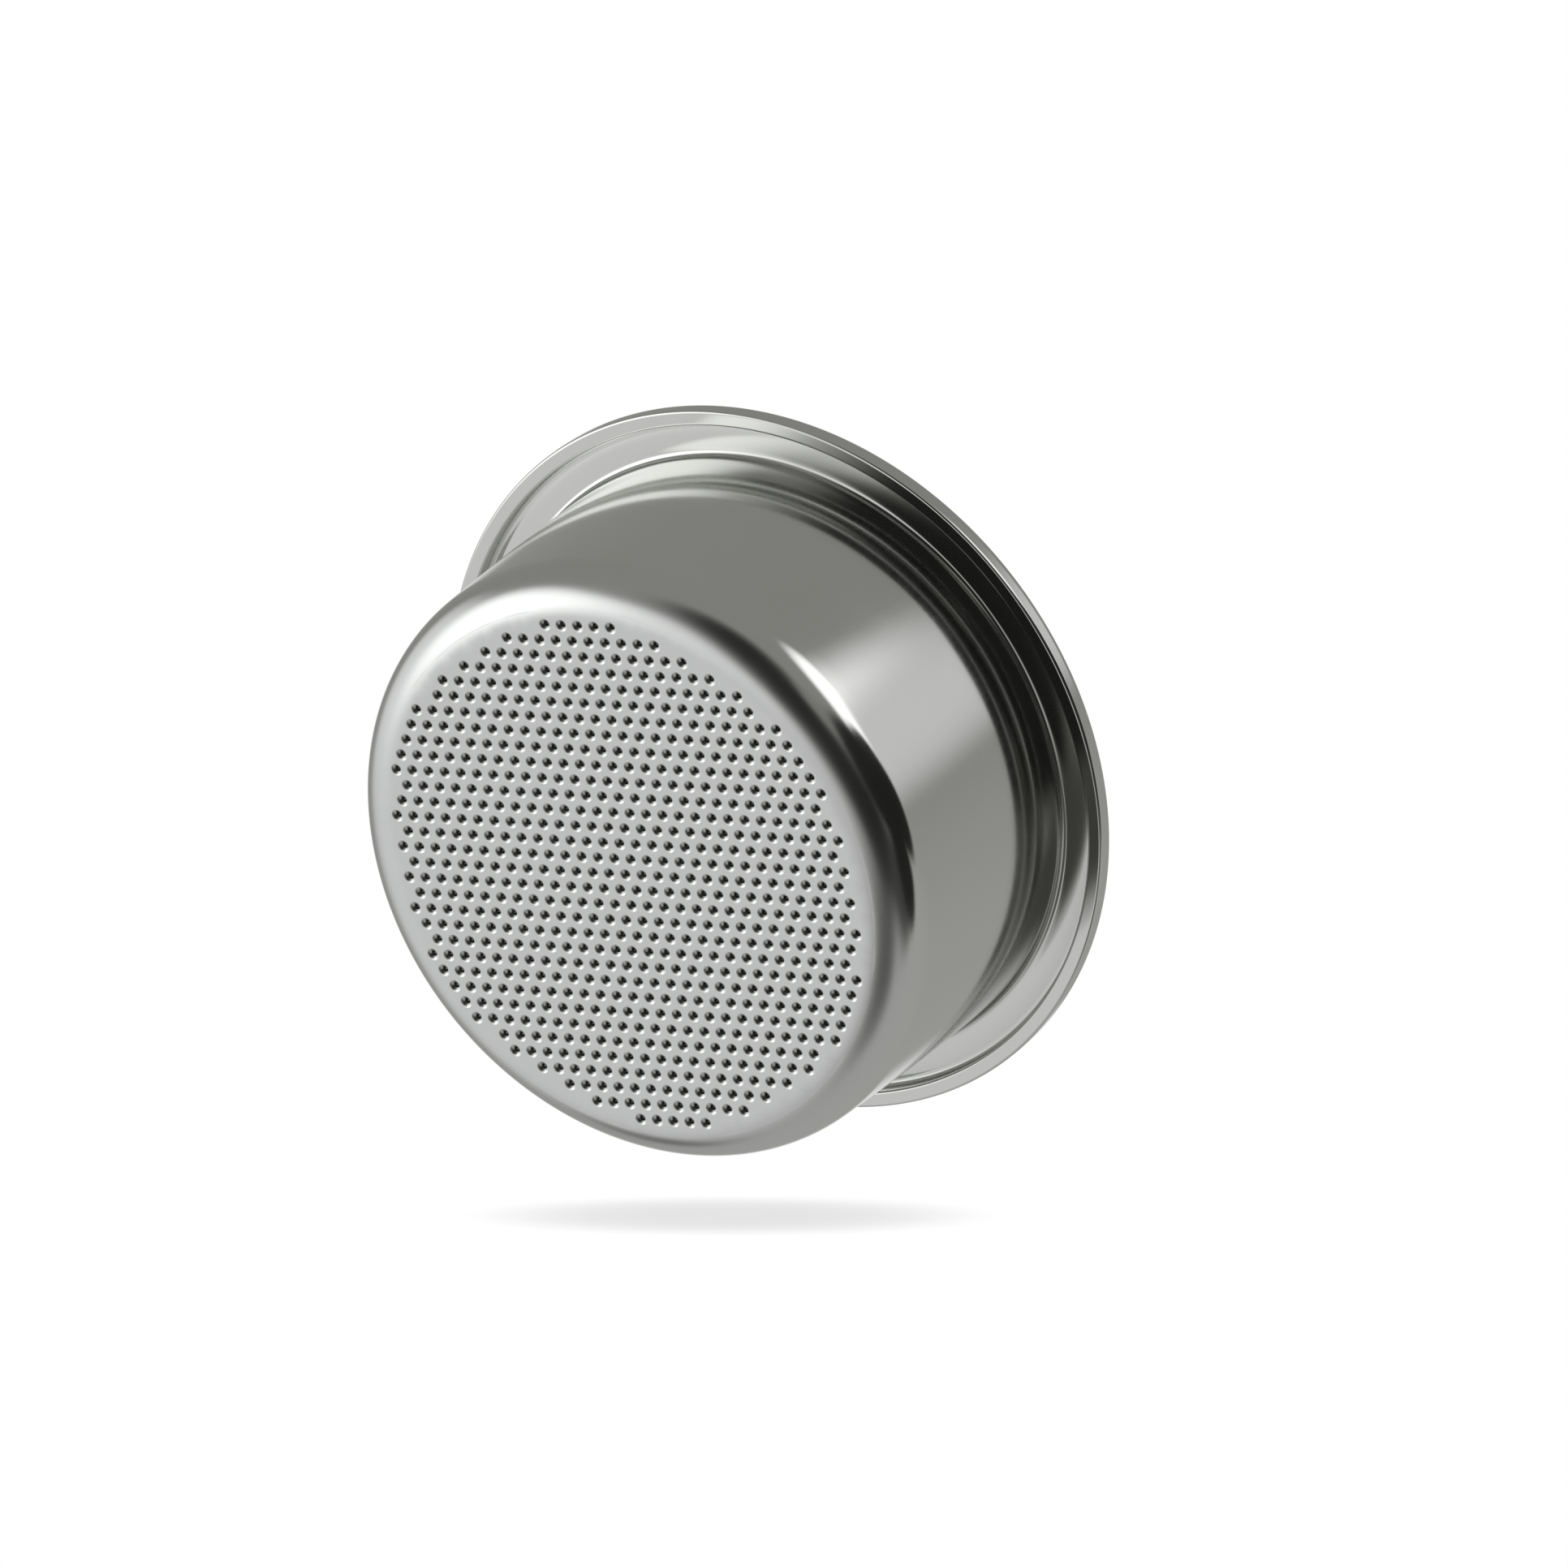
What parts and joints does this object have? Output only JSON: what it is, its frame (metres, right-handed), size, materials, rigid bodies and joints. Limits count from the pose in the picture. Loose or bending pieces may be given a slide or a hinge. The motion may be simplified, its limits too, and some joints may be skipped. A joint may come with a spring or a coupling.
{
  "type": "espresso filter basket",
  "caption": "Pressed steel espresso filter basket: a round cup with a turned-out rim and a flat bottom full of fine conical pits.",
  "frame": {"origin": "centre of the flat bottom face that it stands on", "axes": "+Z along the cup's axis, towards the mouth; +X along one row of pits"},
  "size_m": [0.07, 0.07, 0.0285],
  "materials": {
    "steel": "satin"
  },
  "bodies": {
    "root": {"filter_basket": "steel"}
  },
  "joints": []
}
